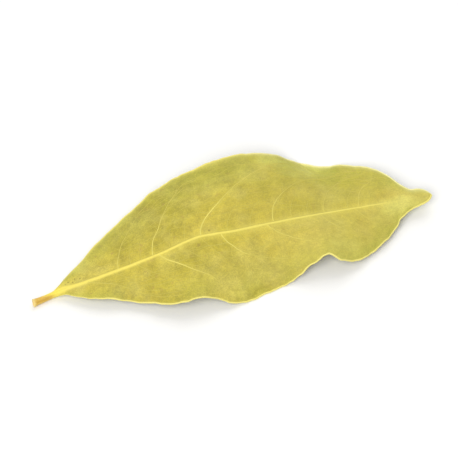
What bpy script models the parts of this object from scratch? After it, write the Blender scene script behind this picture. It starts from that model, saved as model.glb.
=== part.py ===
# A dried bay leaf, grown in one piece: its waved blade, raised midrib, side veins and stalk.
# It lies with its underside up, the stalk towards -X and the tip towards +X.
# Metres, +Z up. The origin is the middle of the leaf's footprint, on the surface it lies on.

from math import exp, sqrt

import bmesh
import bpy

MM = 0.001

# Driving dimensions
LEAF_LENGTH = 90.5 * MM        # from the stalk's cut end to the tip
BLADE_THICKNESS = 0.72 * MM    # measured straight up, so a slope of 30 degrees is still 0.62 mm thick
STATION_COUNT = 74             # cross sections from the stalk's end to the tip
BLADE_COLUMNS = 9              # columns from the midrib's foot to each margin

# Each curve below is a list of (distance from the stalk's end, value) in millimetres.
# Distance of a margin from the midrib, seen from above
FAR_HALF_WIDTH = [
    (0, 1.0), (3, 0.85), (4.5, 0.9), (6, 1.45), (8, 2.9), (10, 4.4), (13, 6.5), (17, 9.8),
    (21, 12.4), (26, 15.1), (32, 17.7), (37, 18.5), (45, 19.7), (50, 20.3), (56, 20.1), (61, 19.7),
    (66, 18.1), (70, 15.9), (73, 15), (77, 12.5), (80, 10.3), (83, 7.1), (85, 3.7), (86.5, 2.3),
    (88.5, 1.95), (90, 1.2), (90.5, 0.7),
]
NEAR_HALF_WIDTH = [
    (0, 1.0), (3, 0.85), (5, 0.75), (7, 1), (9, 2.2), (11, 3.3), (15, 4.7), (20, 6.4), (25, 9.3),
    (29, 11.5), (34, 12.6), (38, 13.5), (41, 14.2), (44, 13.9), (50, 12.5), (56, 11.4), (60.5, 10.5),
    (63.5, 10), (66, 11.6), (68.5, 11.8), (73, 10.4), (77, 8.5), (80, 6.3), (81.2, 5.3), (82, 4.1),
    (84, 2.75), (86, 2.05), (88, 1.75), (90, 1.1), (90.5, 0.7),
]
# Sideways place and height of the midrib
MIDRIB_SIDEWAYS = [
    (0, -0.35), (2.5, 0.05), (5, 0.4), (8, 0.25), (12, -0.05), (20, -0.3), (28, 0.05), (32, 0.5),
    (35, 0.95), (38, 1.25), (41, 1), (46, 0.45), (52, 0.35), (68, 0.3), (80, 0.2), (86, -0.1),
    (90.5, -0.4),
]
MIDRIB_HEIGHT = [
    (0, 0.7), (4, 0.7), (8, 1.9), (14, 3.4), (20, 4.8), (28, 6.0), (38, 7.1), (46, 7.1),
    (56, 6.5), (66, 5.3), (76, 4.0), (84, 3.1), (90.5, 3.3),
]
# Height of each margin: the leaf has dried in waves
FAR_MARGIN_HEIGHT = [
    (0, 0.7), (4, 0.7), (8, 1.7), (14, 2.2), (22, 2.3), (29, 2.8), (37, 4.3), (45, 6.1),
    (52, 6.3), (58, 5.0), (64, 1.7), (69.5, -0.5), (75, 1.2), (80, 3.0), (86, 3.6), (90.5, 3.2),
]
NEAR_MARGIN_HEIGHT = [
    (0, 0.7), (4, 0.7), (8, 1.8), (14, 2.5), (21, 2.4), (27, 3.1), (33, 4.3), (41, 1.3),
    (48.5, -0.7), (56, 1.6), (63.5, 5.0), (69, 2.6), (75, 1.3), (80, 1.7), (86, 2.7), (90.5, 3.2),
]
# The midrib: half its width, and how far it stands out of the underside and the upper side
MIDRIB_HALF_WIDTH = [(0, 0.95), (3, 0.8), (5, 0.85), (12, 0.8), (40, 0.65), (70, 0.5), (90.5, 0.4)]
MIDRIB_RELIEF = [(0, 0.42), (12, 0.42), (40, 0.36), (70, 0.2), (84, 0), (90.5, 0)]
STALK_RELIEF_BELOW = [(0, 0.42), (5, 0.42), (12, 0.1), (20, 0), (90.5, 0)]

# Side veins of each half: (start along the midrib, sweep towards the tip, how late it bends)
FAR_SIDE_VEINS = [
    (19.3, 12, 2.2), (27.1, 16, 1.8), (38.2, 31, 1.8), (54.4, 32, 2.05), (66, 18, 1.8), (74, 12, 1.7),
]
NEAR_SIDE_VEINS = [
    (12, 14, 1.3), (28.4, 15.5, 1.4), (42.5, 28, 2), (52.7, 17, 1.4), (65, 15, 1.6), (73, 10, 1.5),
]
SIDE_VEIN_RELIEF = 0.28 * MM
SIDE_VEIN_SPREAD = 0.95 * MM
SIDE_VEIN_END = 0.85           # the veins fade out at this share of the way to the margin

DOME_BEND = 1.4                # the blade stays high near the midrib and drops towards the margin
PLUMPNESS = 0.5 * MM           # each half of the blade bulges by this much, halfway to the margin
MIDRIB_SHARE_LIMIT = 0.55      # along the stalk the midrib takes at most this share of the width
MARGIN_CROWDING = 0.45         # the columns stand this much closer together at the margin

LEAF_COLOR = (0.50, 0.46, 0.13, 1.0)
LEAF_ROUGHNESS = 0.72


def smooth_curve(points, distance):
    # A curve through the points with no swing beyond them: level at each crest and trough
    place = min(max(distance / MM, points[0][0]), points[-1][0])
    last = len(points) - 2
    index = next((i for i in range(last + 1) if place <= points[i + 1][0]), last)
    slopes = [(b[1] - a[1]) / (b[0] - a[0]) for a, b in zip(points, points[1:])]

    def slope_at(i):
        if i == 0 or i == len(points) - 1:
            return slopes[0] if i == 0 else slopes[-1]
        before, after = slopes[i - 1], slopes[i]
        if before * after <= 0:
            return 0.0
        return 2 * before * after / (before + after)

    (x0, y0), (x1, y1) = points[index], points[index + 1]
    span = x1 - x0
    t = (place - x0) / span
    value = (2 * t**3 - 3 * t**2 + 1) * y0 + (3 * t**2 - 2 * t**3) * y1
    value += span * ((t**3 - 2 * t**2 + t) * slope_at(index) + (t**3 - t**2) * slope_at(index + 1))
    return value * MM


def side_vein_relief(along, across, veins):
    # Height of the low ridges that the side veins raise; across runs from 0 at the midrib to 1
    if across >= SIDE_VEIN_END:
        return 0.0
    fade = sqrt(1 - across / SIDE_VEIN_END) * min(1.0, along / (12 * MM))
    relief = 0.0
    for start, sweep, bend in veins:
        vein_place = (start + sweep * across**bend) * MM
        relief += SIDE_VEIN_RELIEF * exp(-(((along - vein_place) / SIDE_VEIN_SPREAD) ** 2))
    return relief * fade


def column_shares(along, half_width):
    # Where the columns stand, as shares of the half width: three on the midrib, the rest on the blade
    midrib = min(MIDRIB_SHARE_LIMIT, smooth_curve(MIDRIB_HALF_WIDTH, along) / half_width)
    shares = [0.0, midrib / 2, midrib]
    for column in range(1, BLADE_COLUMNS + 1):
        step = column / BLADE_COLUMNS
        shares.append(midrib + (1 - midrib) * step * (1 + MARGIN_CROWDING * (1 - step)))
    return shares


def blade_point(along, share, side):
    # Upper and lower point of the leaf, share of the way from the midrib to one margin
    far = side > 0
    half_width = smooth_curve(FAR_HALF_WIDTH if far else NEAR_HALF_WIDTH, along)
    margin_height = smooth_curve(FAR_MARGIN_HEIGHT if far else NEAR_MARGIN_HEIGHT, along)
    middle_height = smooth_curve(MIDRIB_HEIGHT, along)
    sideways = smooth_curve(MIDRIB_SIDEWAYS, along) + side * share * half_width

    height = middle_height + (margin_height - middle_height) * share**DOME_BEND
    fullness = min(1.0, half_width / (12 * MM))
    height += PLUMPNESS * fullness * 4 * share * (1 - share)
    height = max(height, BLADE_THICKNESS / 2)

    midrib_width = min(smooth_curve(MIDRIB_HALF_WIDTH, along), half_width)
    roundness = sqrt(max(0.0, 1 - (share * half_width / midrib_width) ** 2))
    veins = side_vein_relief(along, share, FAR_SIDE_VEINS if far else NEAR_SIDE_VEINS)
    above = BLADE_THICKNESS / 2 + max(smooth_curve(MIDRIB_RELIEF, along) * roundness, veins)
    below = BLADE_THICKNESS / 2 + smooth_curve(STALK_RELIEF_BELOW, along) * roundness
    return (along, sideways, height + above), (along, sideways, max(height - below, 0.0))


def cross_section(along):
    # Upper and lower row of points from the near margin to the far margin
    near = column_shares(along, smooth_curve(NEAR_HALF_WIDTH, along))
    far = column_shares(along, smooth_curve(FAR_HALF_WIDTH, along))
    places = [(share, -1) for share in reversed(near[1:])] + [(share, 1) for share in far]
    pairs = [blade_point(along, share, side) for share, side in places]
    return [upper for upper, lower in pairs], [lower for upper, lower in pairs]


def add_strip(mesh, row, next_row, faces_up):
    # Two triangles between each two columns, cut along the same diagonal on both faces of the leaf
    for left, right, next_left, next_right in zip(row, row[1:], next_row, next_row[1:]):
        triangles = [(left, next_left, next_right), (left, next_right, right)]
        for triangle in triangles:
            mesh.faces.new(triangle if faces_up else triangle[::-1])


def add_row(mesh, row, centre):
    return [mesh.verts.new((x - centre[0], y - centre[1], z)) for x, y, z in row]


def build_leaf_mesh():
    sections = [cross_section(LEAF_LENGTH * i / (STATION_COUNT - 1)) for i in range(STATION_COUNT)]
    points = [point for section in sections for row in section for point in row]
    centre = [(min(axis) + max(axis)) / 2 for axis in zip(*points)]

    mesh = bmesh.new()
    rows = []
    for section in sections:
        rows.append([add_row(mesh, row, centre) for row in section])

    for (upper, lower), (next_upper, next_lower) in zip(rows, rows[1:]):
        add_strip(mesh, upper, next_upper, True)
        add_strip(mesh, lower, next_lower, False)
        for edge, turned in ((0, False), (-1, True)):
            corners = (upper[edge], lower[edge], next_lower[edge], next_upper[edge])
            for triangle in (corners[:3], (corners[0], *corners[2:])):
                mesh.faces.new(triangle[::-1] if turned else triangle)

    for (upper, lower), faces_tip in ((rows[0], False), (rows[-1], True)):
        for first, second, below_first, below_second in zip(upper, upper[1:], lower, lower[1:]):
            for triangle in ((first, second, below_second), (first, below_second, below_first)):
                mesh.faces.new(triangle[::-1] if faces_tip else triangle)
    bmesh.ops.recalc_face_normals(mesh, faces=mesh.faces)
    return mesh


def leaf_material():
    material = bpy.data.materials.new("dried_leaf")
    material.use_nodes = True
    shader = material.node_tree.nodes["Principled BSDF"]
    shader.inputs["Base Color"].default_value = LEAF_COLOR
    shader.inputs["Roughness"].default_value = LEAF_ROUGHNESS
    shader.inputs["Metallic"].default_value = 0.0
    return material


def main():
    for old in list(bpy.data.objects):
        bpy.data.objects.remove(old)
    mesh = build_leaf_mesh()
    data = bpy.data.meshes.new("bay_leaf")
    mesh.to_mesh(data)
    mesh.free()
    data.shade_smooth()
    data.set_sharp_from_angle(angle=0.9)
    data.materials.append(leaf_material())
    leaf = bpy.data.objects.new("bay_leaf", data)
    bpy.context.scene.collection.objects.link(leaf)


main()
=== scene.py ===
import math

import bpy
import numpy as np
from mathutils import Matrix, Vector, noise


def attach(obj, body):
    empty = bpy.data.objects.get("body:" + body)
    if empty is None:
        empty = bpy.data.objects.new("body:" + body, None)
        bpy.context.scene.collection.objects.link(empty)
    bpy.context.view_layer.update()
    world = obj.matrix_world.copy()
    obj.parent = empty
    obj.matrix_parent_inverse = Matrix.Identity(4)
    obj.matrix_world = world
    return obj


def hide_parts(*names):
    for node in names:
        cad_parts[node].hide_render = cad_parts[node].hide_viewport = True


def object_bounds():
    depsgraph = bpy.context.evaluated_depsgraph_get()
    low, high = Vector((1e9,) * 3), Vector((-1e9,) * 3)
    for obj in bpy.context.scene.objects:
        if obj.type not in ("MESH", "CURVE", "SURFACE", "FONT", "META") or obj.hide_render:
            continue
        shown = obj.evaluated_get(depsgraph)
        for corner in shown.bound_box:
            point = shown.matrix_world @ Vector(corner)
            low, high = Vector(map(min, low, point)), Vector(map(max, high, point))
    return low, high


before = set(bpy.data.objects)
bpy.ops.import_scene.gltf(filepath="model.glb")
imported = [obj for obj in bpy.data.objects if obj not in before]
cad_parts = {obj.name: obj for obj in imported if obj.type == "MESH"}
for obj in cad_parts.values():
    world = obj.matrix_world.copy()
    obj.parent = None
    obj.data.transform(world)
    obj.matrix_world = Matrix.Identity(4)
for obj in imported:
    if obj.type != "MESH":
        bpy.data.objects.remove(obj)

cadLow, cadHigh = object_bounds()
mm = 0.001

# The leaf's form, as in the solid: (distance from the stalk's end, value), in mm
leafForm = dict(
    length=90.5,
    farHalfWidth=[
        (0, 1), (3, 0.85), (4.5, 0.9), (6, 1.45), (8, 2.9), (10, 4.4), (13, 6.5), (17, 9.8),
        (21, 12.4), (26, 15.1), (32, 17.7), (37, 18.5), (45, 19.7), (50, 20.3), (56, 20.1), (61, 19.7),
        (66, 18.1), (70, 15.9), (73, 15), (77, 12.5), (80, 10.3), (83, 7.1), (85, 3.7), (86.5, 2.3),
        (88.5, 1.95), (90, 1.2), (90.5, 0.7),
    ],
    nearHalfWidth=[
        (0, 1), (3, 0.85), (5, 0.75), (7, 1), (9, 2.2), (11, 3.3), (15, 4.7), (20, 6.4), (25, 9.3),
        (29, 11.5), (34, 12.6), (38, 13.5), (41, 14.2), (44, 13.9), (50, 12.5), (56, 11.4),
        (60.5, 10.5), (63.5, 10), (66, 11.6), (68.5, 11.8), (73, 10.4), (77, 8.5), (80, 6.3),
        (81.2, 5.3), (82, 4.1), (84, 2.75), (86, 2.05), (88, 1.75), (90, 1.1), (90.5, 0.7),
    ],
    sideways=[
        (0, -0.35), (2.5, 0.05), (5, 0.4), (8, 0.25), (12, -0.05), (20, -0.3), (28, 0.05), (32, 0.5),
        (35, 0.95), (38, 1.25), (41, 1), (46, 0.45), (52, 0.35), (68, 0.3), (80, 0.2), (86, -0.1),
        (90.5, -0.4),
    ],
    midribHeight=[
        (0, 0.7), (4, 0.7), (8, 1.9), (14, 3.4), (20, 4.8), (28, 6), (38, 7.1), (46, 7.1),
        (56, 6.5), (66, 5.3), (76, 4), (84, 3.1), (90.5, 3.3),
    ],
    farHeight=[
        (0, 0.7), (4, 0.7), (8, 1.7), (14, 2.2), (22, 2.3), (29, 2.8), (37, 4.3), (45, 6.1),
        (52, 6.3), (58, 5), (64, 1.7), (69.5, -0.5), (75, 1.2), (80, 3), (86, 3.6),
        (90.5, 3.2),
    ],
    nearHeight=[
        (0, 0.7), (4, 0.7), (8, 1.8), (14, 2.5), (21, 2.4), (27, 3.1), (33, 4.3), (41, 1.3),
        (48.5, -0.7), (56, 1.6), (63.5, 5), (69, 2.6), (75, 1.3), (80, 1.7), (86, 2.7),
        (90.5, 3.2),
    ],
    domeBend=1.4, plumpness=0.5, plumpFrom=12, floorSoftness=0.02, solidThickness=0.72,
)

# Side veins: (start along the midrib, sweep to the tip, how late it bends, strength, clear up to)
sideVeins = {
    1: [(19.3, 12, 2.2, 0.4, 0.6), (27.1, 16, 1.8, 0.64, 0.47), (38.2, 31, 1.8, 1, 0.38),
        (54.4, 32, 2.05, 0.5, 0.38), (66, 18, 1.8, 0.24, 0.4), (74, 12, 1.7, 0.32, 0.4)],
    -1: [(12, 14, 1.3, 0.3, 0.4), (28.4, 15.5, 1.4, 0.86, 0.68), (42.5, 28, 2, 0.56, 0.44),
         (52.7, 17, 1.4, 0.42, 0.62), (65, 15, 1.6, 0.28, 0.4), (73, 10, 1.5, 0.22, 0.3)],
}


def curveThrough(points, places):
    # A smooth curve through points, level at each crest and trough
    xs, ys = np.array(points, float).T
    slopes = np.diff(ys) / np.diff(xs)
    product = slopes[:-1] * slopes[1:]
    total = np.where(product > 0, slopes[:-1] + slopes[1:], 1.0)
    tangents = np.concatenate([[slopes[0]], np.where(product > 0, 2 * product / total, 0), [slopes[-1]]])
    places = np.clip(places, xs[0], xs[-1])
    i = np.clip(np.searchsorted(xs, places) - 1, 0, len(xs) - 2)
    span = xs[i + 1] - xs[i]
    t = (places - xs[i]) / span
    ends = (2 * t**3 - 3 * t**2 + 1) * ys[i] + (3 * t**2 - 2 * t**3) * ys[i + 1]
    return ends + span * ((t**3 - 2 * t**2 + t) * tangents[i] + (t**3 - t**2) * tangents[i + 1])


def smoothStep(low, high, value):
    t = np.clip((value - low) / (high - low), 0, 1)
    return t * t * (3 - 2 * t)


def fadeOut(low, high, value, amount=1.0):
    return 1 - amount * smoothStep(low, high, value)


def noiseAt(x, y, size, seed):
    # Smooth noise, -1 to 1, in lumps of about size
    seedGap = 7.31
    x, y = np.broadcast_arrays(x, y)
    values = [noise.noise(Vector((a / size, b / size, seed * seedGap))) for a, b in zip(x.flat, y.flat)]
    return np.array(values).reshape(x.shape)


# Blade, midrib and stalk are one closed mesh, in mm
bladeSpec = dict(
    # rows along the leaf and columns across it
    stations=324, tipStations=26, tipStart=89, tipBlend=(88, 89.8), ribColumns=9, bladeColumns=52,
    ribReach=1.25, ribReachShare=0.35, marginCrowding=0.25,
    # the ragged margin: height on the far and near half, lump size, row of the noise
    ragged=[(0.14, 0.34, 2.9, 3), (0.11, 0.19, 1.1, 9)], raggedGrows=(7, 14), raggedFades=(86, 90),
    noseHalf=0.14,
    # thickness and midrib
    thickness=0.34, edgeThickness=0.22, thinnest=0.035,
    ribWidth=[(0, 0.8), (8, 0.7), (20, 0.6), (40, 0.54), (60, 0.42), (75, 0.3), (90.5, 0.22)],
    ribRelief=[(0, 0), (4, 0.2), (9, 0.46), (20, 0.46), (45, 0.36), (70, 0.2), (84, 0.05), (90.5, 0)],
    ribFoot=1.35, ribFlank=0.8, ribFullness=0.8, grooveDepth=0.16, grooveFades=(60, 84),
    # the stalk, and the channel along it
    stalkEnds=(4.5, 10.5), stalkRadius=0.72, stalkEdge=0.02, stalkSlimness=0.78,
    stalkSlimEnds=(4.3, 6.3), stalkWrinkle=0.18, stalkFlare=0.2, stalkFlareWidth=0.12,
    stalkFlareEnds=(0.1, 1.1), stalkFlatness=0.12, channelDepth=0.15, channelPlace=-0.55,
    channelWidth=0.36, channelGrows=(0.3, 0.9), channelFades=(3.4, 5.6),
    # relief: (height, lump size)
    reliefGrows=(7, 20), waves=(0.22, 9), waveShares=(0.05, 0.4), puckers=(0.07, 2.6),
    grain=(0.018, 0.9), crimps=(0.5, 3.4), crimpShares=(0.8, 1), veinRelief=0.14, veinSpread=0.9,
    veinGrows=(0, 0.09), veinEnd=0.92,
)


def plainHalf(x, side):
    return curveThrough(leafForm["farHalfWidth" if side > 0 else "nearHalfWidth"], x)


def marginHalf(x, side):
    # With a slimmer stalk, a ragged margin and a rounded nose
    spec = bladeSpec
    ragged = 0
    for seed, (far, near, lump, row) in enumerate(spec["ragged"], 1):
        ragged = ragged + (far if side > 0 else near) * noiseAt(x, row * side, lump, seed)
    ragged = ragged * smoothStep(*spec["raggedGrows"], x) * fadeOut(*spec["raggedFades"], x)
    half = plainHalf(x, side) + ragged
    half = half * (1 - (1 - spec["stalkSlimness"]) * fadeOut(*spec["stalkSlimEnds"], x))
    half = half + spec["stalkFlareWidth"] * fadeOut(*spec["stalkFlareEnds"], x)
    past = np.clip((x - spec["tipStart"]) / (leafForm["length"] - spec["tipStart"]), 0, 1)
    return np.maximum(half * np.sqrt(1 - past**2), spec["noseHalf"])


def veinPlace(side, number, share):
    start, sweep, bend = sideVeins[side][number][:3]
    return start + sweep * share**bend


def ribShare(x, side):
    # Share of the way across at which the midrib's flank meets the blade
    return bladeSpec["ribFlank"] * curveThrough(bladeSpec["ribWidth"], x) / plainHalf(x, side)


def stalkness(x):
    return fadeOut(*bladeSpec["stalkEnds"], x)


def veinRidges(x, share, side):
    # The blade swells a little along each side vein
    ridge = np.zeros(np.shape(x))
    for number in range(len(sideVeins[side])):
        gap = (x - veinPlace(side, number, share)) / bladeSpec["veinSpread"]
        ridge = np.maximum(ridge, np.exp(-(gap**2)))
    ridge = ridge * np.sqrt(np.clip(1 - share / bladeSpec["veinEnd"], 0, 1))
    return ridge * smoothStep(*bladeSpec["veinGrows"], share)


def leafSurface(x, share, side):
    # Middle of the thickness at distance x and share of the way to one margin
    spec = bladeSpec
    half = marginHalf(x, side)
    stalk = stalkness(x)
    across = side * half * ((1 - stalk) * share + stalk * np.sin(share * math.pi / 2))
    y = curveThrough(leafForm["sideways"], x) + across
    middle = curveThrough(leafForm["midribHeight"], x)
    edge = curveThrough(leafForm["farHeight" if side > 0 else "nearHeight"], x)
    z = middle + (edge - middle) * share ** leafForm["domeBend"]
    plump = leafForm["plumpness"] * (1 - stalk) * np.minimum(1, half / leafForm["plumpFrom"])
    z += plump * 4 * share * (1 - share)
    blade = smoothStep(*spec["reliefGrows"], x)
    reliefs = [("waves", y, smoothStep(*spec["waveShares"], share)), ("puckers", y, 1), ("grain", y, 1),
               ("crimps", 5 * side, smoothStep(*spec["crimpShares"], share))]
    for seed, (name, row, amount) in enumerate(reliefs, 3):
        height, lump = spec[name]
        z += blade * height * noiseAt(x, row, lump, seed) * amount
    z += blade * spec["veinRelief"] * veinRidges(x, share, side)
    floor = leafForm["solidThickness"] / 2 * (1 - stalk)
    z = (z + floor + np.sqrt((z - floor) ** 2 + leafForm["floorSoftness"])) / 2
    z -= (leafForm["solidThickness"] / 2 - spec["thickness"] / 2) * (1 - stalk)
    return np.stack([x, y, z], -1)


def stalkChannel(x, share, side):
    # A dried-in channel along the stalk that runs out where the blade begins
    spec = bladeSpec
    across = np.exp(-(((side * share - spec["channelPlace"]) / spec["channelWidth"]) ** 2))
    return across * smoothStep(*spec["channelGrows"], x) * fadeOut(*spec["channelFades"], x)


def halfThickness(x, share, side):
    # How far the two faces stand off the middle
    spec = bladeSpec
    offset = share * plainHalf(x, side)
    plain = spec["thickness"] + (spec["edgeThickness"] - spec["thickness"]) * share**3
    foot = spec["ribFoot"] * curveThrough(spec["ribWidth"], x)
    bell = 0.5 + 0.5 * np.cos(math.pi * np.clip(offset / foot, 0, 1))
    rib = curveThrough(spec["ribRelief"], x) * bell ** spec["ribFullness"]
    stalk = stalkness(x)
    roundPart = spec["stalkRadius"] * np.cos(share * math.pi / 2) + spec["stalkEdge"]
    wrinkles = noiseAt(x * 0.22 + 3, side * share * 3.4, 0.55, 13)
    wrinkles += 0.6 * noiseAt(x, side * share * 6, 0.8, 14)
    roundPart *= 1 + spec["stalkWrinkle"] * wrinkles * (1 - share**2)
    roundPart *= 1 + spec["stalkFlare"] * fadeOut(*spec["stalkFlareEnds"], x)
    dent = spec["channelDepth"] * stalkChannel(x, share, side)
    up = np.maximum((1 - stalk) * (plain / 2 + rib) + stalk * roundPart - dent, spec["thinnest"])
    groove = spec["grooveDepth"] * bell * fadeOut(*spec["grooveFades"], x)
    down = (1 - stalk) * (plain / 2 + groove) + stalk * roundPart * (1 - spec["stalkFlatness"] * bell)
    return up, down


def placed(points):
    # From mm in the leaf's own frame to metres in the shared one
    xs = np.linspace(0, leafForm["length"], 900)
    sideways = curveThrough(leafForm["sideways"], xs)
    farthest, nearest = (sideways + plainHalf(xs, 1)).max(), (sideways - plainHalf(xs, -1)).min()
    centre = (cadLow + cadHigh) / 2 / mm
    offset = np.array([leafForm["length"] / 2 - centre.x, (farthest + nearest) / 2 - centre.y, 0.0])
    return (np.asarray(points) - offset) * mm


def makeBlade():
    # Grids from the near margin to the far one
    spec = bladeSpec
    xs = np.linspace(0, spec["tipStart"], spec["stations"])
    tip = np.sin(np.linspace(0, math.pi / 2, spec["tipStations"] + 1)[1:])
    xs = np.concatenate([xs, spec["tipStart"] + (leafForm["length"] - spec["tipStart"]) * tip])
    grids = {}
    for side in (-1, 1):
        reach = np.minimum(spec["ribReach"] / marginHalf(xs, side), spec["ribReachShare"])[:, None]
        inner = np.linspace(0, 1, spec["ribColumns"] + 1) * reach
        steps = np.linspace(0, 1, spec["bladeColumns"] + 1)[1:]
        outer = reach + (1 - reach) * steps * (1 + spec["marginCrowding"] * (1 - steps))
        shares = np.concatenate([inner, outer], 1)
        x = np.repeat(xs[:, None], shares.shape[1], 1)
        up, down = halfThickness(x, shares, side)
        middle = leafSurface(x, shares, side)
        grids[side] = {"x": x, "share": shares, "side": np.full(x.shape, side), "middle": middle,
                       "up": up, "down": down}
    return {key: np.concatenate([grids[-1][key][:, :0:-1], grids[1][key]], 1) for key in grids[1]}


def addObject(name, data):
    made = bpy.data.objects.new(name, data)
    bpy.context.scene.collection.objects.link(made)
    return made


def addAttribute(mesh, name, values):
    layer = mesh.attributes.new(name, "FLOAT", "POINT")
    layer.data.foreach_set("value", np.asarray(values, np.float32).ravel())


# Where the blade's parts lie on its UV map
uvSpec = dict(
    left=0.015, width=0.97, rows=(0.53, 0.02), rowHeight=0.45, margins=(0.485, 0.505), marginWidth=0.01,
    ends=(0.002, 0.992), endWidth=0.004,
)


def buildBlade(grid):
    # Rows of points on both faces, sewn at the margins and closed at both ends
    middle = grid["middle"]
    rows, columns = middle.shape[:2]
    normal = np.cross(np.gradient(middle, axis=0), np.gradient(middle, axis=1))
    normal /= np.linalg.norm(normal, axis=-1, keepdims=True)
    # near the tip, where the points close up, one direction takes over
    steady = normal[bladeSpec["stations"] - 2, columns // 2]
    shared = smoothStep(*bladeSpec["tipBlend"], grid["x"])[..., None]
    normal = np.where(shared < 1, normal * (1 - shared), 0) + steady * shared
    upper = middle + normal * grid["up"][..., None]
    lower = middle - normal * grid["down"][..., None]
    lower[..., 2] = np.maximum(lower[..., 2], 0.0)

    # each part: the four corners of its faces, and where all points lie on the UV map
    top, bottom = np.arange(2 * rows * columns).reshape(2, rows, columns)
    face, column = np.indices((2, rows, columns))[::2]
    y = middle[..., 1]
    u = uvSpec["left"] + uvSpec["width"] * middle[..., 0] / leafForm["length"] + 0 * face
    v = np.array(uvSpec["rows"])[face] + uvSpec["rowHeight"] * (y - y.min()) / (y.max() - y.min())
    near, far = ((u, strip + uvSpec["marginWidth"] * face) for strip in uvSpec["margins"])
    start, tip = ((left + uvSpec["endWidth"] * face, column / columns) for left in uvSpec["ends"])
    parts = [
        ((top[:-1, :-1], top[1:, :-1], top[1:, 1:], top[:-1, 1:]), (u, v)),
        ((bottom[:-1, 1:], bottom[1:, 1:], bottom[1:, :-1], bottom[:-1, :-1]), (u, v)),
        ((top[:-1, 0], bottom[:-1, 0], bottom[1:, 0], top[1:, 0]), near),
        ((top[1:, -1], bottom[1:, -1], bottom[:-1, -1], top[:-1, -1]), far),
        ((top[0, :-1], top[0, 1:], bottom[0, 1:], bottom[0, :-1]), start),
        ((bottom[-1, :-1], bottom[-1, 1:], top[-1, 1:], top[-1, :-1]), tip),
    ]
    faces, uvs = [], []
    for corners, places in parts:
        corners = np.stack(corners, -1).reshape(-1, 4)
        faces.extend(corners.tolist())
        uvs.append(np.stack(places, -1).reshape(-1, 2)[corners])
    points = placed(np.concatenate([upper.reshape(-1, 3), lower.reshape(-1, 3)]))
    mesh = bpy.data.meshes.new("bayLeafBlade")
    mesh.from_pydata(points.tolist(), [], faces)
    mesh.update()
    mesh.shade_smooth()
    layer = mesh.uv_layers.new(name="OFBake", do_init=False)
    layer.uv.foreach_set("vector", np.concatenate(uvs).astype(np.float32).ravel())
    return addObject("bayLeafBlade", mesh), upper, lower


# Where the blade's finishes lie, in mm: glows as (strength, width), spans as (start, end)
maskSpec = dict(
    halo=(0.42, 1.05), haloStart=0.4, haloGrows=(14, 30), haloFades=(48, 62), haloLoss=0.3,
    ribSpan=(0.25, 1.15), ribFades=(75, 88), veinWidth=0.6, veinEnd=0.95, veinDimming=0.6,
    # the far rim is stronger and wider than the near one: a pale margin with painted light on it
    farStreak=(22, 2), nearStreak=(16, 1.45), farRimAndLight=(0.95, 0.38), nearRim=(0.5, 0.14),
    lowerRim=(0.7, 0.3), stalkFades=(4.2, 9.4), stalkLean=1.4, lowerStalkFades=(2.5, 10.5),
    # the span of brown on the stalk's lower face: browner bark and painted shade
    lowerBarkAndShade=(0.5, 5), brokenEnd=(0.25, 0.75),
)


def paintBlade(blade, grid):
    # Masks that the material reads, for the upward and the downward face
    spec = maskSpec
    x, share, side = grid["x"], grid["share"], grid["side"]
    half = np.where(side > 0, plainHalf(x, 1), plainHalf(x, -1))
    offset = share * half
    edge = half * (1 - share)

    def glow(distance, strength, width):
        return strength * np.exp(-distance / width)

    halo = spec["halo"][0] * np.exp(-((offset / spec["halo"][1]) ** 2))
    halo = halo * (spec["haloStart"] + (1 - spec["haloStart"]) * smoothStep(*spec["haloGrows"], x))
    halo = halo * fadeOut(*spec["haloFades"], x, spec["haloLoss"])
    onRib = fadeOut(*spec["ribSpan"], offset / curveThrough(bladeSpec["ribWidth"], x))
    rib = np.maximum(onRib, halo) * fadeOut(*spec["ribFades"], x)
    veins = np.zeros(x.shape)
    for way in (-1, 1):
        for number, vein in enumerate(sideVeins[way]):
            gap = (x - veinPlace(way, number, share)) / spec["veinWidth"]
            veins = np.where(side == way, np.maximum(veins, vein[3] * np.exp(-(gap**2))), veins)
    veins *= np.clip(1 - share / spec["veinEnd"], 0, 1) ** spec["veinDimming"]
    farSweep, farBend = spec["farStreak"]
    nearSweep, nearBend = spec["nearStreak"]
    streaks = x - np.where(side > 0, farSweep * share**farBend, nearSweep * share**nearBend)
    end = fadeOut(*spec["brokenEnd"], x)
    masks = {
        "facesUp": (1, 0),
        "rib": (rib, rib * 0.8),
        "sideVeins": (veins, veins * 1.8),
        # pale margin; on the far side it is stronger and wider, partly painted light
        "margin": (np.where(side > 0, glow(edge, *spec["farRimAndLight"]), glow(edge, *spec["nearRim"])),
                   glow(edge, *spec["lowerRim"])),
        "share": (share, share),
        "along": (x / leafForm["length"], x / leafForm["length"]),
        "streakPlace": (streaks, streaks),
        "acrossPlace": (side * share, side * share),
        "stalk": (fadeOut(*spec["stalkFades"], x + spec["stalkLean"] * share),
                  fadeOut(*spec["lowerStalkFades"], x)),
        # brown in the stalk's channel on the upward face and over the stalk's lower face: browner bark and
        # painted shade
        "barkAndShadeMask": (stalkChannel(x, share, side), 0.6 * fadeOut(*spec["lowerBarkAndShade"], x)),
        "endMask": (end, end),
    }
    for name, parts in masks.items():
        addAttribute(blade.data, name, np.stack(np.broadcast_arrays(x, *parts)[1:]))


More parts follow.
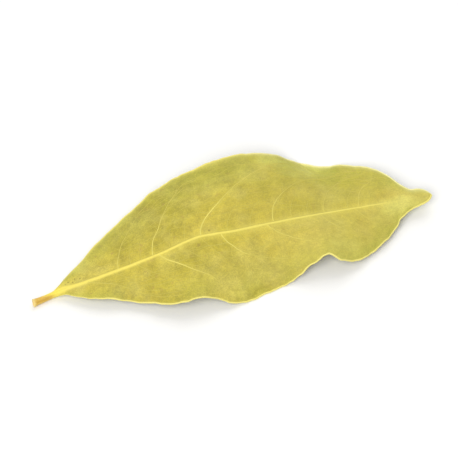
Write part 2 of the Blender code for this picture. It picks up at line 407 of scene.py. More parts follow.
# The veins are tapering cords let into both faces, in mm and shares of their way
veinSpec = dict(
    seed=11, profileSides=8, sunk=0.45, lowerSize=0.9, lastPlace=84, rootDepth=0.13,
    # side veins
    sideRadius=0.2, sideTaper=0.72, sideEnd=0.9, sidePoints=90, sideLastPlace=86, sideRoot=0.3,
    rootShare=0.05, endDepth=0.08, endShares=(0.9, 1), knotShift=0.04, kink=0.42,
    kinkShares=(0, 0, 0.35, 0.7, 1, 1, 1, 0), waver=0.14, waverShares=(0, 0.2),
    # spurs where a side vein kinks
    spurKnots=(2, 7), spurRadius=0.075, spurTaper=0.7, spurAcross=(0.09, 0.05), spurAlong=(1.2, 1.6),
    spurBend=0.8, spurMargin=0.93,
    # loops, weaker veins and cross links
    branchRadius=0.085, loopShares=(0.93, 0.74, 0.05), loopBulge=0.06, loopThinning=0.4,
    weakParts=(0.36, 0.68), weakReach=(0.35, 0.25), weakRoot=0.4, weakRootShare=0.06, weakSweep=0.9,
    weakWaver=0.35, weakTaper=0.75, weakLastPlace=85, linkRadius=0.055, linkShares=(0.14, 0.84, 0.085),
    linkClearance=2.4, linkWobble=0.05, shortestLink=1.5,
)


def facePoint(x, share, side, face, lift):
    # Points lifted off the upward (face 1) or downward (face -1) surface
    step, shareStep = 0.05, 0.004
    centre = leafSurface(x, share, side)
    alongWay = leafSurface(x + step, share, side) - leafSurface(x - step, share, side)
    acrossWay = leafSurface(x, share + shareStep, side) - leafSurface(x, share - shareStep, side)
    normal = np.cross(alongWay, acrossWay) * side
    normal /= np.linalg.norm(normal, axis=-1, keepdims=True)
    up, down = halfThickness(x, share, side)
    reach = (up if face > 0 else down) + lift
    return centre + face * normal * reach[..., None]


# Each route: side, distances along, shares across, radii, strengths, extra depths
def sideVeinRoutes(side, rng):
    spec = veinSpec
    t = np.linspace(0, 1, spec["sidePoints"])
    kinkShares = np.array(spec["kinkShares"])
    for number, (start, sweep, bend, strength, clear) in enumerate(sideVeins[side]):
        first = spec["sideRoot"] * ribShare(start, side)
        share = first + (spec["sideEnd"] - first) * t
        knots = np.linspace(0, 1, len(kinkShares))
        knots[1:-1] += rng.uniform(-spec["knotShift"], spec["knotShift"], len(knots) - 2)
        kinks = rng.uniform(-1, 1, len(knots)) * spec["kink"] * kinkShares
        x = veinPlace(side, number, share) + np.interp(t, knots, kinks)
        waver = noiseAt(share * 17, number * 3.7 + side, 1.7, 8)
        x = x + spec["waver"] * waver * smoothStep(*spec["waverShares"], t)
        for step in range(*spec["spurKnots"]):
            # a short spur where the vein kinks
            at, way = knots[step], 1 if kinks[step] < 0 else -1
            s = np.linspace(0, 1, 16)
            least, more = spec["spurAcross"]
            spurShare = first + (spec["sideEnd"] - first) * at + (least + more * rng.random()) * s
            lean = sweep * bend * spurShare[0] ** (bend - 1) * (spurShare - spurShare[0])
            least, more = spec["spurAlong"]
            spurX = way * (least + more * rng.random()) * s ** spec["spurBend"]
            spurX = float(np.interp(at, t, x)) + lean + spurX
            inside = (spurX < spec["lastPlace"]) & (spurShare < spec["spurMargin"])
            radius = spec["spurRadius"] * (1 - spec["spurTaper"] * s[inside])
            glow = strength * (0.36 - 0.32 * s[inside])
            yield side, spurX[inside], spurShare[inside], radius, glow, 0 * radius
        # a strong vein is thicker, starts bright and fades past its clear part
        radius = spec["sideRadius"] * (0.35 + 0.65 * strength) * (1 - spec["sideTaper"] * t)
        fade = strength * (0.72 + 0.28 * smoothStep(0.08, 0.24, t))
        fade = fade * fadeOut(clear - 0.1, clear + 0.16, t, 0.72) * fadeOut(0.72, 0.97, t, 0.95)
        glow = 0.15 + 0.7 * fade + 0.5 * strength * fadeOut(0.03, 0.12, t)
        depth = spec["rootDepth"] * fadeOut(0, spec["rootShare"], t)
        depth = depth + spec["endDepth"] * smoothStep(*spec["endShares"], t)
        keep = x < spec["sideLastPlace"]
        yield side, x[keep], share[keep], radius[keep], glow[keep], depth[keep]


def loopRoutes(side, rng):
    # From the end of each side vein to the next one
    firstShare, secondShare, more = veinSpec["loopShares"]
    for number in range(len(sideVeins[side]) - 1):
        fromShare, toShare = veinSpec["sideEnd"] * firstShare, secondShare + more * rng.random()
        fromX, toX = veinPlace(side, number, fromShare), veinPlace(side, number + 1, toShare)
        if toX > veinSpec["lastPlace"]:
            continue
        t = np.linspace(0, 1, 34)
        bulge = np.sin(math.pi * t)
        share = fromShare + (toShare - fromShare) * t + veinSpec["loopBulge"] * bulge
        radius = veinSpec["branchRadius"] * (1 - veinSpec["loopThinning"] * bulge)
        yield side, fromX + (toX - fromX) * t, share, radius, np.full(len(t), 0.04), 0 * t


def weakVeinRoutes(side, number, rng):
    # Two weaker veins between a side vein and the next
    spec = veinSpec
    veins = sideVeins[side]
    start, sweep, bend = veins[number][:3]
    nextStart = veins[number + 1][0] if number + 1 < len(veins) else 81
    for part in spec["weakParts"]:
        reach = spec["weakReach"][0] + spec["weakReach"][1] * rng.random()
        t = np.linspace(0, 1, 44)
        place = start + (nextStart - start) * part
        share = spec["weakRoot"] * ribShare(place, side) + reach * t
        x = place + sweep * spec["weakSweep"] * share**bend
        waver = noiseAt(share * 23, number + part + 9 * side, 1.3, 9)
        x = x + spec["weakWaver"] * waver * t
        keep = x < spec["weakLastPlace"]
        radius = spec["branchRadius"] * (1 - spec["weakTaper"] * t[keep])
        depth = spec["rootDepth"] * fadeOut(0, spec["weakRootShare"], t[keep])
        glow = 0.2 - 0.18 * t + 0.1 * fadeOut(0.06, 0.2, t)
        yield side, x[keep], share[keep], radius, glow[keep], depth


def linkRoutes(side, number, rng):
    # Cross links to the next side vein that keep clear of the midrib
    spec = veinSpec
    for place in np.arange(*spec["linkShares"]):
        a = place + 0.03 * rng.standard_normal()
        b = a - 0.03 + 0.04 * rng.standard_normal()
        fromX, toX = veinPlace(side, number, a), veinPlace(side, number + 1, b)
        if toX - fromX < spec["shortestLink"] or toX > spec["lastPlace"]:
            continue
        t = np.linspace(0, 1, 20)
        x = fromX + (toX - fromX) * t
        bend = noiseAt(t * 6, place * 9 + number + side, 1.5, 10) * np.sin(math.pi * t)
        share = a + (b - a) * t + spec["linkWobble"] * bend
        if (share < spec["linkClearance"] * ribShare(x, side)).any():
            continue
        radius = np.full(len(t), spec["linkRadius"])
        yield side, x, share, radius, np.full(len(t), 0.05), 0 * t


def veinRoutes():
    rng = np.random.default_rng(veinSpec["seed"])
    routes = []
    for side in sideVeins:
        routes += sideVeinRoutes(side, rng)
        routes += loopRoutes(side, rng)
    for side, veins in sideVeins.items():
        for number in range(len(veins)):
            routes += weakVeinRoutes(side, number, rng)
            if number + 1 < len(veins):
                routes += linkRoutes(side, number, rng)
    return [route for route in routes if len(route[1]) > 3]


def chain(first, count):
    return [(i, i + 1) for i in range(first, first + count - 1)]


def addRoutes(name, points, edges, radii, strengths):
    # One mesh of edges, with a radius and a strength for each point
    mesh = bpy.data.meshes.new(name)
    mesh.from_pydata(placed(points).tolist(), edges, [])
    addAttribute(mesh, "cordRadius", np.asarray(radii) * mm)
    addAttribute(mesh, "strength", strengths)
    return addObject(name, mesh)


def routesOnFace(face):
    points, edges, radii, strengths = [], [], [], []
    size = 1.0 if face > 0 else veinSpec["lowerSize"]
    for side, x, share, radius, strength, depth in veinRoutes():
        edges.extend(chain(len(points), len(x)))
        points.extend(facePoint(x, share, side, face, -radius * size * veinSpec["sunk"] - depth))
        radii.extend(radius * size)
        strengths.extend(strength)
    return addRoutes("veinRoutesUp" if face > 0 else "veinRoutesDown", points, edges, radii, strengths)


def addNode(kind, inputs, tree=None, **settings):
    # The outputs of a new node in the given tree, or in that of its feeds; colours can go by name
    feeds = {key: value for key, value in inputs.items() if isinstance(value, bpy.types.NodeSocket)}
    tree = tree or next(iter(feeds.values())).id_data
    node = tree.nodes.new(kind)
    for key, value in settings.items():
        setattr(node, key, value)
    for key, value in inputs.items():
        if key in feeds:
            tree.links.new(value, node.inputs[key])
        else:
            node.inputs[key].default_value = leafColors.get(value, value)
    return node.outputs


def newTree(name, kind, inputs, outputs):
    # A new node group's inputs; its sockets are given by name and kind
    tree = bpy.data.node_groups.new(name, kind)
    for way, sockets in (("INPUT", inputs), ("OUTPUT", outputs)):
        for title, sort in sockets.items():
            tree.interface.new_socket(title, in_out=way, socket_type="NodeSocket" + sort)
    return addNode("NodeGroupInput", {}, tree)


def cordTree():
    # Makes tapering cords from a mesh of edges
    inputs = {"Routes": "Geometry", "Sides": "Int", "Material": "Material"}
    given = newTree("taperingCords", "GeometryNodeTree", inputs, {"Cords": "Geometry"})
    tree = given["Routes"].id_data
    radius = addNode("GeometryNodeInputNamedAttribute", {"Name": "cordRadius"}, tree, data_type="FLOAT")
    inputs = {"Resolution": given["Sides"], "Radius": 1.0}
    ring = addNode("GeometryNodeCurvePrimitiveCircle", inputs, mode="RADIUS")["Curve"]
    curves = addNode("GeometryNodeMeshToCurve", {"Mesh": given["Routes"]})["Curve"]
    inputs = {"Curve": curves, "Profile Curve": ring, "Scale": radius["Attribute"], "Fill Caps": True}
    cords = addNode("GeometryNodeCurveToMesh", inputs)["Mesh"]
    for kind in ("GeometryNodeSetShadeSmooth", "GeometryNodeRealizeInstances"):
        cords = addNode(kind, {"Geometry": cords})["Geometry"]
    inputs = {"Geometry": cords, "Material": given["Material"]}
    addNode("NodeGroupOutput", {"Cords": addNode("GeometryNodeSetMaterial", inputs)["Geometry"]})
    return tree


def growMesh(source, tree, name, values):
    # Runs the tree on an object and keeps the result as a plain mesh
    modifier = source.modifiers.new(tree.name, "NODES")
    modifier.node_group = tree
    for socket in tree.interface.items_tree:
        if socket.name in values:
            modifier[socket.identifier] = values[socket.name]
    depsgraph = bpy.context.evaluated_depsgraph_get()
    mesh = bpy.data.meshes.new_from_object(source.evaluated_get(depsgraph), depsgraph=depsgraph)
    mesh.name = name
    source.modifiers.remove(modifier)
    bpy.data.objects.remove(source)
    return addObject(name, mesh)


leafColors = dict(
    olive=(0.456, 0.388, 0.043, 1), tan=(0.556, 0.455, 0.07, 1), green=(0.402, 0.402, 0.054, 1),
    warmTan=(0.603, 0.492, 0.068, 1), paleOlive=(0.506, 0.447, 0.074, 1), brown=(0.40, 0.27, 0.07, 1),
    paleGreen=(0.70, 0.66, 0.155, 1), paleTan=(0.70, 0.62, 0.14, 1), dusty=(0.595, 0.525, 0.128, 1),
    stain=(0.39, 0.324, 0.039, 1), weakVein=(0.535, 0.468, 0.076, 1),
    upperGreen=(0.31, 0.315, 0.035, 1), upperOlive=(0.42, 0.385, 0.045, 1),
    vein=(0.87, 0.735, 0.135, 1), thinVein=(0.80, 0.70, 0.145, 1), upperVein=(0.86, 0.78, 0.21, 1),
    rim=(0.835, 0.74, 0.185, 1), rimPale=(0.88, 0.84, 0.38, 1), root=(0.90, 0.75, 0.11, 1),
    # the darkest stalk brown is browner bark, also used as painted shade in the stalk's channel and on its
    # lower face
    stalk=(0.70, 0.44, 0.08, 1), stalkPale=(0.86, 0.66, 0.16, 1), barkAndShadeBrown=(0.56, 0.33, 0.04, 1),
    stalkEnd=(0.92, 0.73, 0.29, 1), spot=(0.20, 0.15, 0.03, 1),
)


def mixColor(factor, first, second, blend="MIX"):
    inputs = {0: factor, 6: first, 7: second}
    return addNode("ShaderNodeMix", inputs, data_type="RGBA", blend_type=blend)[2]


def doMath(operation, first, second, clamp=False):
    inputs = {0: first, 1: second}
    return addNode("ShaderNodeMath", inputs, operation=operation, use_clamp=clamp)[0]


def times(first, second):
    return doMath("MULTIPLY", first, second)


def plus(first, second, clamp=False):
    return doMath("ADD", first, second, clamp)


def ramp(value, low, high, toLow=0.0, toHigh=1.0):
    inputs = {"Value": value, "From Min": low, "From Max": high, "To Min": toLow, "To Max": toHigh}
    return addNode("ShaderNodeMapRange", inputs, interpolation_type="SMOOTHSTEP")["Result"]


def noiseValue(vector, scale, detail=2.0, roughness=0.5, distortion=0.0, output="Fac"):
    inputs = {"Vector": vector, "Scale": scale, "Detail": detail, "Roughness": roughness,
              "Distortion": distortion}
    return addNode("ShaderNodeTexNoise", inputs)[output]


def tinted(body, red, green, blue):
    color = addNode("ShaderNodeCombineColor", {"Red": red, "Green": green, "Blue": blue})["Color"]
    return mixColor(1.0, body, color, "MULTIPLY")


def vectorMath(operation, first, second=None):
    inputs = {0: first}
    if second is not None:
        inputs["Scale" if operation == "SCALE" else 1] = second
    outputs = addNode("ShaderNodeVectorMath", inputs, operation=operation)
    return outputs["Value" if operation in ("DISTANCE", "LENGTH") else 0]


def mapped(vector, scale):
    return addNode("ShaderNodeMapping", {"Vector": vector, "Scale": scale})[0]


def wobbled(vector, scale, amount):
    # Places pushed about by noise
    shift = vectorMath("SUBTRACT", noiseValue(vector, scale, output="Color"), (0.5, 0.5, 0.5))
    return vectorMath("ADD", vector, vectorMath("SCALE", shift, amount))


def attributeValue(socket, name):
    return addNode("ShaderNodeAttribute", {}, socket.id_data, attribute_name=name)["Fac"]


def placeGroup(name, inputs):
    return addNode("ShaderNodeGroup", inputs, node_tree=bpy.data.node_groups[name])


def mottleGroup():
    # Dry patches of one colour in another, at two sizes
    inputs = {"Vector": "Vector", "Patch Size": "Float", "Base": "Color", "Patch": "Color", "Amount": "Float"}
    given = newTree("dryMottle", "ShaderNodeTree", inputs, {"Color": "Color"})
    scale = doMath("DIVIDE", 1.0, given["Patch Size"])
    broad = noiseValue(given["Vector"], scale, 3.0, 0.5, 0.3)
    fine = noiseValue(given["Vector"], times(scale, 5.0), 4.0, 0.6)
    mixed = plus(times(broad, 0.72), times(fine, 0.28))
    mask = times(ramp(mixed, 0.36, 0.64), given["Amount"])
    addNode("NodeGroupOutput", {"Color": mixColor(mask, given["Base"], given["Patch"])})


def netGroup():
    # The finest veins: the lines between small cells
    inputs = {"Vector": "Vector", "Cell": "Float", "Line": "Float"}
    given = newTree("fineNet", "ShaderNodeTree", inputs, {"Mask": "Float"})
    scale = doMath("DIVIDE", 1.0, given["Cell"])
    warped = wobbled(given["Vector"], times(scale, 0.8), times(given["Cell"], 0.9))
    inputs = {"Vector": warped, "Scale": scale, "Randomness": 0.9}
    cells = addNode("ShaderNodeTexVoronoi", inputs, feature="DISTANCE_TO_EDGE", voronoi_dimensions="2D")
    line = ramp(cells["Distance"], 0.0, given["Line"], 1.0, 0.0)
    addNode("NodeGroupOutput", {"Mask": line})


def grainGroup():
    # Dry, papery grain for tone, roughness and relief
    outputs = {"Height": "Float", "Tone": "Float"}
    given = newTree("paperyGrain", "ShaderNodeTree", {"Vector": "Vector", "Size": "Float"}, outputs)
    scale = doMath("DIVIDE", 1.0, given["Size"])
    grain = noiseValue(given["Vector"], scale, 3.0, 0.6)
    coarse = noiseValue(given["Vector"], times(scale, 0.22), 3.0, 0.6)
    height = plus(times(grain, 0.6), times(coarse, 0.4))
    addNode("NodeGroupOutput", {"Height": height, "Tone": ramp(height, 0.35, 0.65)})


def mottled(place, base, patch, size, amount):
    inputs = {"Vector": place, "Patch Size": size, "Base": base, "Patch": patch, "Amount": amount}
    return placeGroup("dryMottle", inputs)["Color"]


def startMaterial(name):
    material = bpy.data.materials.new(name)
    material.use_nodes = True
    place = addNode("ShaderNodeTexCoord", {}, material.node_tree)["Object"]
    return material, material.node_tree.nodes["Principled BSDF"], place


def finishShader(shader, color, height, bumpSize, rough):
    strength, distance = bumpSize
    bump = addNode("ShaderNodeBump", {"Height": height, "Strength": strength, "Distance": distance})
    feeds = {"Base Color": color, "Normal": bump["Normal"], "Roughness": rough}
    for name, socket in feeds.items():
        shader.id_data.links.new(socket, shader.inputs[name])


# The dark spot beside the midrib and the specks near the base: (x, y, z, radius) in mm
spotList = [
    (40.3, 2.3, 7.3, 0.36), (7.7, 1.25, 2, 0.24), (8.4, 1.6, 2.2, 0.3), (9.3, 1.3, 2.4, 0.27),
    (9.9, 1.9, 2.5, 0.24), (11, 1.5, 2.9, 0.25), (31.5, -4.6, 6, 0.16), (33, -5.6, 5.9, 0.13),
]

# Broad faint patches on the upward face: (x, y, length, width, color, strength), in mm
patchList = [
    (47.5, 3.6, 5, 2.6, "stain", 0.3), (45, 10.5, 4.5, 3.5, "warmTan", 0.5),
    (40, 6, 5.5, 3, "warmTan", 0.55), (52.5, 5, 4, 4.5, "warmTan", 0.4),
    (46, -6, 5, 4, "dusty", 0.4), (19, -1.8, 7.5, 3, "olive", 0.6),
    (58, -6, 9, 4, "warmTan", 0.45), (50, -1.6, 7.5, 2.6, "warmTan", 0.5),
    (22, 6, 6.5, 5, "olive", 0.85), (28.5, 11, 6, 4, "stain", 0.45),
    (48.5, 16.8, 5.5, 4.2, "stain", 0.85), (67.5, 15.5, 6.5, 4.6, "paleGreen", 0.75),
    (62, 3.2, 7, 4.4, "olive", 0.8), (75, 6.5, 7.5, 5, "olive", 0.6),
    (41, -10.2, 5, 3.2, "paleTan", 0.6), (37.5, 3.4, 8, 2.2, "warmTan", 0.4),
    (60, 18, 5, 2.8, "paleGreen", 0.6), (72, 0.6, 6, 2.2, "warmTan", 0.5),
    (12, 4, 3.2, 2.4, "dusty", 0.5), (28, 4.5, 5, 3, "olive", 0.4),
    (83.5, -1.2, 6, 2.6, "paleGreen", 0.8), (29.5, 15.2, 7.5, 3.2, "stain", 0.75),
    (40, 18, 8, 2.6, "stain", 0.45), (36, 8.6, 3.6, 2.8, "olive", 0.7),
    (36.5, -4.2, 5, 2.8, "olive", 0.7), (25.5, -7, 6, 3, "olive", 0.5),
    (68.5, -9.8, 6, 3.4, "paleTan", 0.8), (47, 6.4, 4.2, 2.6, "warmTan", 0.45),
    (21, 2.2, 6, 2, "stain", 0.55), (12.8, -2.8, 3.8, 2.4, "olive", 0.55),
    (30, -2.6, 3.2, 2.6, "paleTan", 0.3), (61, -7.6, 7, 3.6, "paleTan", 0.35),
]

# Noise scales are lumps per metre; spans are shares of length or half width, or values of noise, and
# four values end with the result at both ends.
bladeFinish = dict(
    warmSpan=(0.42, 0.05), paleSpan=(0.5, 0.95), calmSpan=(0.42, 0.8, 1, 0.45), mottle=(0.011, 0.85),
    upperMottle=(0.008, 0.8),
    # scale, detail, roughness, distortion, span, colour, amount, calmer towards the tip
    layers=[
        (75, 3, 0.5, 0.6, (0.46, 0.72), "dusty", 0.6, False),
        (160, 5, 0.6, 0, (0.5, 0.68), "stain", 0.55, True),
        (190, 2, 0.5, 0, (0.46, 0.66), "dusty", 0.5, True),
        (430, 2, 0.5, 0, (0.5, 0.7), "tan", 0.3, True),
        (520, 2, 0.5, 0, (0.5, 0.7), "stain", 0.36, True),
    ],
    patchWobble=(260, 0.005), patchSpan=(1.25, 0.1), greenAcross=(0.35, 1, 0, 0.45),
    greenAlong=(0.62, 0.95, 0, 0.35), greenNoise=(130, 3), greenSpan=(0.3, 0.6),
    streakStretch=(1.5, 4, 1), streakTone=(0.3, 0.7, -0.045, 0.045), streakShares=(0.9, 0.4),
    warmerAcross=(0.05, 0.95, 0.008, -0.02),
    netCells=[(0.0011, 0.09, 0.65), (0.00042, 0.12, 0.3)],  # size, width of the lines, amount
    netAmount=0.16, veinAmount=0.16, thinVeinSpan=(0.2, 0.75), dotScale=900, dotSize=(0.16, 0.05),
    dotChoice=(0.55, 0.75), dotAmount=0.28, fleckScale=620, fleckSpan=(0.64, 0.74),
    fleckAmount=(0.25, 0.6, 0.5, 0.2), grainSize=0.00028, grainTone=(0, 1, -0.105, 0.085),
    grainAlong=(0.3, 0.75, 1.35, 0.9), lumpScale=270, lumpTone=(0.3, 0.7, -0.085, 0.085),
    paleRimAlong=(0.54, 0.66), paleRimAcross=(0.2, 0.6), spotFlatness=0.15, spotAmount=0.75,
    rootSpan=(2.4, 4.2),  # mm from the stalk's end
    rootLean=0.019, barkStretch=(260, 1500, 1500), ridgeStretch=(300, 4200, 4200),
    endAmount=0.75, relief=dict(grain=0.55, net=0.35, ridges=1.2, rib=0.5),
    bump=(0.55, 0.00012), roughness=(0, 1, 0.66, 0.82), upperGloss=0.22, specular=0.35,
)


def swept(value, name):
    return ramp(value, *bladeFinish[name])


def darkSpots(place):
    total = 0.0
    flatness = bladeFinish["spotFlatness"]
    flat = vectorMath("MULTIPLY", place, (1.0, 1.0, flatness))
    for x, y, z, radius in spotList:
        centre = placed([(x, y, z)])[0]
        gap = vectorMath("DISTANCE", flat, (centre[0], centre[1], centre[2] * flatness))
        mask = ramp(gap, radius * mm, radius * mm * 0.2, 0.0, bladeFinish["spotAmount"])
        total = doMath("MAXIMUM", total, mask)
    return total


def softPatches(place, body):
    # Ellipses made ragged by noise
    moved = wobbled(place, *bladeFinish["patchWobble"])
    for x, y, length, width, name, strength in patchList:
        offset = vectorMath("SUBTRACT", moved, tuple(placed([(x, y, 0)])[0]))
        shaped = vectorMath("MULTIPLY", offset, (1 / (length * mm), 1 / (width * mm), 0.0))
        mask = ramp(vectorMath("LENGTH", shaped), *bladeFinish["patchSpan"], 0.0, strength)
        body = mixColor(mask, body, name)
    return body


def undersideColor(place, along, share, calmer):
    # Tan in olive, speckled, patchy, greener towards the margin and the tip
    finish = bladeFinish
    tan = mixColor(swept(along, "warmSpan"), "tan", "warmTan")
    olive = mixColor(swept(along, "paleSpan"), "olive", "paleOlive")
    body = mottled(place, olive, tan, *finish["mottle"])
    for scale, detail, roughness, distortion, span, name, amount, calmed in finish["layers"]:
        bits = ramp(noiseValue(place, scale, detail, roughness, distortion), *span)
        bits = times(bits, times(calmer, amount) if calmed else amount)
        body = mixColor(bits, body, name)
    body = softPatches(place, body)
    greening = plus(swept(share, "greenAcross"), swept(along, "greenAlong"), True)
    patches = noiseValue(place, *finish["greenNoise"])
    return mixColor(times(greening, swept(patches, "greenSpan")), body, "green")


def streaked(share, across, body):
    # Faint streaks along the side veins; the near half is a touch warmer
    point = addNode("ShaderNodeCombineXYZ", {"X": attributeValue(share, "streakPlace"), "Y": across})
    streaks = noiseValue(mapped(point[0], bladeFinish["streakStretch"]), 1.0, 4.0, 0.6)
    tone = times(swept(streaks, "streakTone"), swept(share, "streakShares"))
    tone = plus(tone, 1.0)
    warmer = swept(across, "warmerAcross")
    green = doMath("SUBTRACT", tone, times(warmer, 0.6))
    return tinted(body, plus(tone, warmer), green, tone)


def flecked(place, along, body):
    # Oil dots and brown flecks
    finish = bladeFinish
    inputs = {"Vector": place, "Scale": finish["dotScale"], "Randomness": 1.0}
    dots = addNode("ShaderNodeTexVoronoi", inputs, feature="F1", voronoi_dimensions="2D")
    dot = times(swept(dots["Distance"], "dotSize"), swept(dots["Color"], "dotChoice"))
    body = mixColor(times(dot, finish["dotAmount"]), body, "brown")
    fleck = swept(noiseValue(place, finish["fleckScale"]), "fleckSpan")
    return mixColor(times(fleck, swept(along, "fleckAmount")), body, "brown")


def stalkLayers(place, along, across, stalk, body):
    # The midrib's bright root, the stalk's bark and torn end, and the brown in the stalk's channel and on its
    # lower face, which is browner bark and painted shade
    finish = bladeFinish
    drawnOut = mapped(place, finish["barkStretch"])
    husk = mottled(drawnOut, "stalk", "stalkPale", 1.0, 0.8)
    # browner bark that also stands for painted shade in the channel and under the stalk
    barkAndShade = mottled(drawnOut, "barkAndShadeBrown", "stalk", 0.7, 0.6)
    leaning = plus(along, times(across, finish["rootLean"]))
    rootStart, rootFull = (x / leafForm["length"] for x in finish["rootSpan"])
    husk = mixColor(ramp(leaning, rootStart, rootFull), husk, "root")
    body = mixColor(stalk, body, husk)
    body = mixColor(attributeValue(place, "barkAndShadeMask"), body, barkAndShade)
    return mixColor(times(attributeValue(place, "endMask"), finish["endAmount"]), body, "stalkEnd")


def bladeMaterial():
    material, shader, place = startMaterial("driedBlade")
    finish = bladeFinish
    names = ("facesUp", "share", "along", "acrossPlace", "rib", "sideVeins", "margin", "stalk")
    facesUp, share, along, across, rib, veins, edge, stalk = (attributeValue(place, name) for name in names)
    calmer = swept(along, "calmSpan")

    # the leaf's underside faces up, its upper side down
    under = undersideColor(place, along, share, calmer)
    upper = mottled(place, "upperGreen", "upperOlive", *finish["upperMottle"])
    body = streaked(share, across, mixColor(facesUp, upper, under))

    # the finest veins, and halos of the side veins
    net = 0.0
    for cell, line, amount in finish["netCells"]:
        mask = placeGroup("fineNet", {"Vector": place, "Cell": cell, "Line": line})["Mask"]
        net = plus(net, times(mask, amount), True)
    paleVein = mixColor(swept(along, "thinVeinSpan"), "vein", "thinVein")
    veinColor = mixColor(facesUp, "upperVein", paleVein)
    body = mixColor(times(net, finish["netAmount"]), body, veinColor)
    body = mixColor(times(veins, finish["veinAmount"]), body, veinColor)
    body = flecked(place, along, body)

    # grain
    grain = placeGroup("paperyGrain", {"Vector": place, "Size": finish["grainSize"]})
    lumps = noiseValue(place, finish["lumpScale"], 2.0, 0.45)
    lumpTone = times(swept(lumps, "lumpTone"), calmer)
    grainTone = times(swept(grain["Tone"], "grainTone"), swept(along, "grainAlong"))
    shade = plus(plus(lumpTone, grainTone), 1.0)
    body = tinted(body, shade, shade, shade)

    # spots, midrib, margin and stalk
    body = mixColor(times(darkSpots(place), facesUp), body, "spot")
    body = mixColor(rib, body, veinColor)
    paleRim = times(swept(along, "paleRimAlong"), swept(across, "paleRimAcross"))
    body = mixColor(edge, body, mixColor(paleRim, "rim", "rimPale"))
    body = stalkLayers(place, along, across, stalk, body)

    # relief: grain, net, and wrinkles of stalk and midrib
    relief = finish["relief"]
    ridges = noiseValue(mapped(place, finish["ridgeStretch"]), 1.0, 3.0)
    ridged = times(ridges, doMath("MAXIMUM", stalk, times(rib, relief["rib"])))
    height = plus(times(grain["Height"], relief["grain"]), times(net, relief["net"]))
    height = plus(height, times(ridged, relief["ridges"]))
    gloss = times(doMath("SUBTRACT", 1.0, facesUp), finish["upperGloss"])
    rough = doMath("SUBTRACT", swept(grain["Tone"], "roughness"), gloss)
    finishShader(shader, body, height, finish["bump"], rough)
    shader.inputs["Specular IOR Level"].default_value = finish["specular"]
    return material


cordFinish = dict(
    mottle=(0.006, 0.35), grainSize=0.0002, bump=(0.4, 0.00006), roughness=(0, 1, 0.55, 0.7),
)


def cordMaterial(name, strong, weak, span):
    # Pale where a cord is strong, like the blade where it thins out
    material, shader, place = startMaterial(name)
    pale = mottled(place, strong, weak, *cordFinish["mottle"])
    color = mixColor(ramp(attributeValue(place, "strength"), *span), weak, pale)
    grain = placeGroup("paperyGrain", {"Vector": place, "Size": cordFinish["grainSize"]})
    rough = ramp(grain["Tone"], *cordFinish["roughness"])
    finishShader(shader, color, grain["Height"], cordFinish["bump"], rough)
    return material


# The thin pale margin
rimSpec = dict(
    start=5.4, radius=0.19, sides=8, taperPoints=40, thinnest=0.25, bead=0.18, beadSize=1.6,
    paleSpan=(49, 60), strength=(0.1, 0.6),
)


def rimRoutes(upper, lower, grid):
    # Along the near margin to the tip, and back along the far one
    spec = rimSpec
    keep = grid["x"][:, 0] > spec["start"]
    near = ((upper[:, 0] + lower[:, 0]) / 2)[keep]
    far = ((upper[:, -1] + lower[:, -1]) / 2)[keep]
    path = np.concatenate([near, far[::-1]])
    places = np.arange(len(path))
    taper = np.minimum(1, np.minimum(places, places[::-1]) / spec["taperPoints"])
    bead = 1 + spec["bead"] * noiseAt(path[:, 0], path[:, 1], spec["beadSize"], 12)
    radius = spec["radius"] * (spec["thinnest"] + (1 - spec["thinnest"]) * taper) * bead
    path[:, 2] = np.maximum(path[:, 2], radius * 1.02)  # stays off the floor
    paler = smoothStep(*spec["paleSpan"], path[:, 0]) * (places >= len(near))
    weak, more = spec["strength"]
    return addRoutes("rimRoute", path, chain(0, len(path)), radius, weak + more * paler)


# The torn fibres at the stalk's end
fibreSpec = dict(
    seed=5, count=34, sides=6, points=5, radius=0.055, thickest=0.3, taper=0.55, shortest=0.12,
    longest=0.42, root=0.45, outside=0.35, spread=0.86, acrossReach=0.86, upReach=0.66, lean=0.05,
    lowest=0.06, goldenTurn=2.39996,
)


def fibreRoutes():
    spec = fibreSpec
    rng = np.random.default_rng(spec["seed"])
    points, edges, radii, strengths = [], [], [], []
    middle = leafSurface(np.array([0.3]), np.array([0.0]), 1)[0]
    for number in range(spec["count"]):
        away = math.sqrt((number + 0.5) / spec["count"]) * spec["spread"]
        turn = number * spec["goldenTurn"]
        y = middle[1] + spec["acrossReach"] * away * math.cos(turn)
        z = middle[2] + spec["upReach"] * away * math.sin(turn)
        length = spec["shortest"] + (spec["longest"] - spec["shortest"]) * rng.random() ** 2
        lean = rng.normal(0, spec["lean"], 2)
        edges.extend(chain(len(points), spec["points"]))
        for t in np.linspace(0, 1, spec["points"]):
            x = spec["root"] - t * (spec["root"] + length * spec["outside"])
            points.append((x, y + lean[0] * t, max(z + lean[1] * t, spec["lowest"])))
            thickness = 1 + spec["thickest"] * rng.random()
            radii.append(spec["radius"] * thickness * (1 - spec["taper"] * t))
            strengths.append(rng.random())
    return addRoutes("fibreRoutes", points, edges, radii, strengths)


# Camera, floor and light, in metres
viewSpec = dict(azimuth=-17.4, elevation=55, lens=200, sensor=36, frameWidth=0.0995, clip=0.01)
lightSpec = dict(
    world=(1, 1, 1, 1), worldStrength=0.45,
    key=dict(at=(-0.3, -0.36, 0.58), size=0.5, energy=3.8, color=(1, 0.985, 0.96)),
    fill=dict(at=(0.25, 0.45, 0.55), size=0.6, energy=2.3, color=(1, 1, 1)),
)
floorSpec = dict(half=3, drop=0.00005, color=(0.92, 0.92, 0.915, 1), roughness=0.9, specular=0.1)


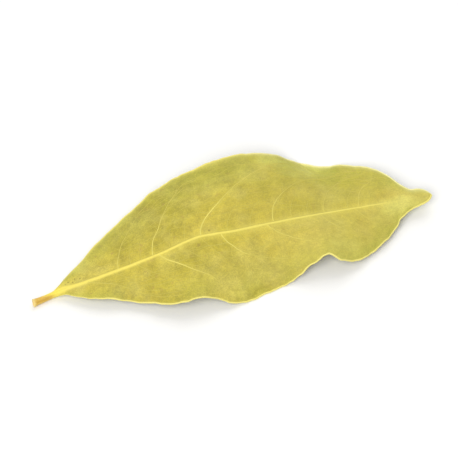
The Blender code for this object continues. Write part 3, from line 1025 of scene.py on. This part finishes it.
def makeCamera(target):
    data = bpy.data.cameras.new("camera")
    data.lens = viewSpec["lens"]
    data.sensor_width = viewSpec["sensor"]
    data.clip_start = viewSpec["clip"]
    turn, tilt = math.radians(viewSpec["azimuth"]), math.radians(viewSpec["elevation"])
    back = Vector((math.sin(turn) * math.cos(tilt), -math.cos(turn) * math.cos(tilt), math.sin(tilt)))
    camera = addObject("camera", data)
    camera.location = target + back * (viewSpec["frameWidth"] * viewSpec["lens"] / viewSpec["sensor"])
    camera.rotation_euler = (-back).to_track_quat("-Z", "Y").to_euler()
    bpy.context.scene.camera = camera


def makeFloor():
    half, drop = floorSpec["half"], floorSpec["drop"]
    mesh = bpy.data.meshes.new("floor")
    corners = [(x * half, y * half, -drop) for x, y in ((-1, -1), (1, -1), (1, 1), (-1, 1))]
    mesh.from_pydata(corners, [], [(0, 1, 2, 3)])
    paint, shader = startMaterial("paleFloor")[:2]
    sockets = {"Base Color": "color", "Roughness": "roughness", "Specular IOR Level": "specular"}
    for socket, key in sockets.items():
        shader.inputs[socket].default_value = floorSpec[key]
    mesh.materials.append(paint)
    addObject("floor", mesh)


def makeLights(target):
    world = bpy.data.worlds.new("softWhite")
    bpy.context.scene.world = world
    world.use_nodes = True
    background = world.node_tree.nodes["Background"]
    background.inputs["Color"].default_value = lightSpec["world"]
    background.inputs["Strength"].default_value = lightSpec["worldStrength"]
    for name in ("key", "fill"):
        spec = lightSpec[name]
        data = bpy.data.lights.new(name, "AREA")
        for key in ("size", "energy", "color"):
            setattr(data, key, spec[key])
        lamp = addObject(name, data)
        lamp.location = spec["at"]
        lamp.rotation_euler = (Vector(spec["at"]) - target).to_track_quat("Z", "Y").to_euler()


def makeStage():
    low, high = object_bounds()
    target = (low + high) / 2
    makeCamera(target)
    makeFloor()
    makeLights(target)
    settings = bpy.context.scene.view_settings
    settings.view_transform = "Standard"
    settings.look = "None"
    settings.exposure = 0.0


def main():
    for makeGroup in (mottleGroup, netGroup, grainGroup):
        makeGroup()
    grid = makeBlade()
    blade, upper, lower = buildBlade(grid)
    paintBlade(blade, grid)
    blade.data.materials.append(bladeMaterial())
    print("blade built:", len(blade.data.polygons), "faces")

    tree = cordTree()
    sides = veinSpec["profileSides"]
    # name, material, routes, sides of a cord, strong and weak colour, span between them
    sets = [
        ("bayLeafVeinsUp", "bayLeafVeinsUpSkin", routesOnFace(1), sides,
         "thinVein", "weakVein", (0, 0.75)),
        ("bayLeafVeinsDown", "bayLeafVeinsDownSkin", routesOnFace(-1), sides,
         "upperVein", "upperOlive", (0, 0.5)),
        ("bayLeafRim", "rimSkin", rimRoutes(upper, lower, grid), rimSpec["sides"],
         "rimPale", "rim", (0, 0.7)),
        ("bayLeafStalkFibres", "fibreSkin", fibreRoutes(), fibreSpec["sides"],
         "stalkEnd", "stalk", (0.1, 0.7)),
    ]
    pieces = [blade]
    for name, skin, routes, sides, strong, weak, span in sets:
        material = cordMaterial(skin, strong, weak, span)
        pieces.append(growMesh(routes, tree, name, {"Sides": sides, "Material": material}))
        print("cords grown:", name, len(pieces[-1].data.polygons), "faces")

    for piece in pieces:
        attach(piece, "root")
    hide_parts("bay_leaf")
    makeStage()
    print("stage set")


main()
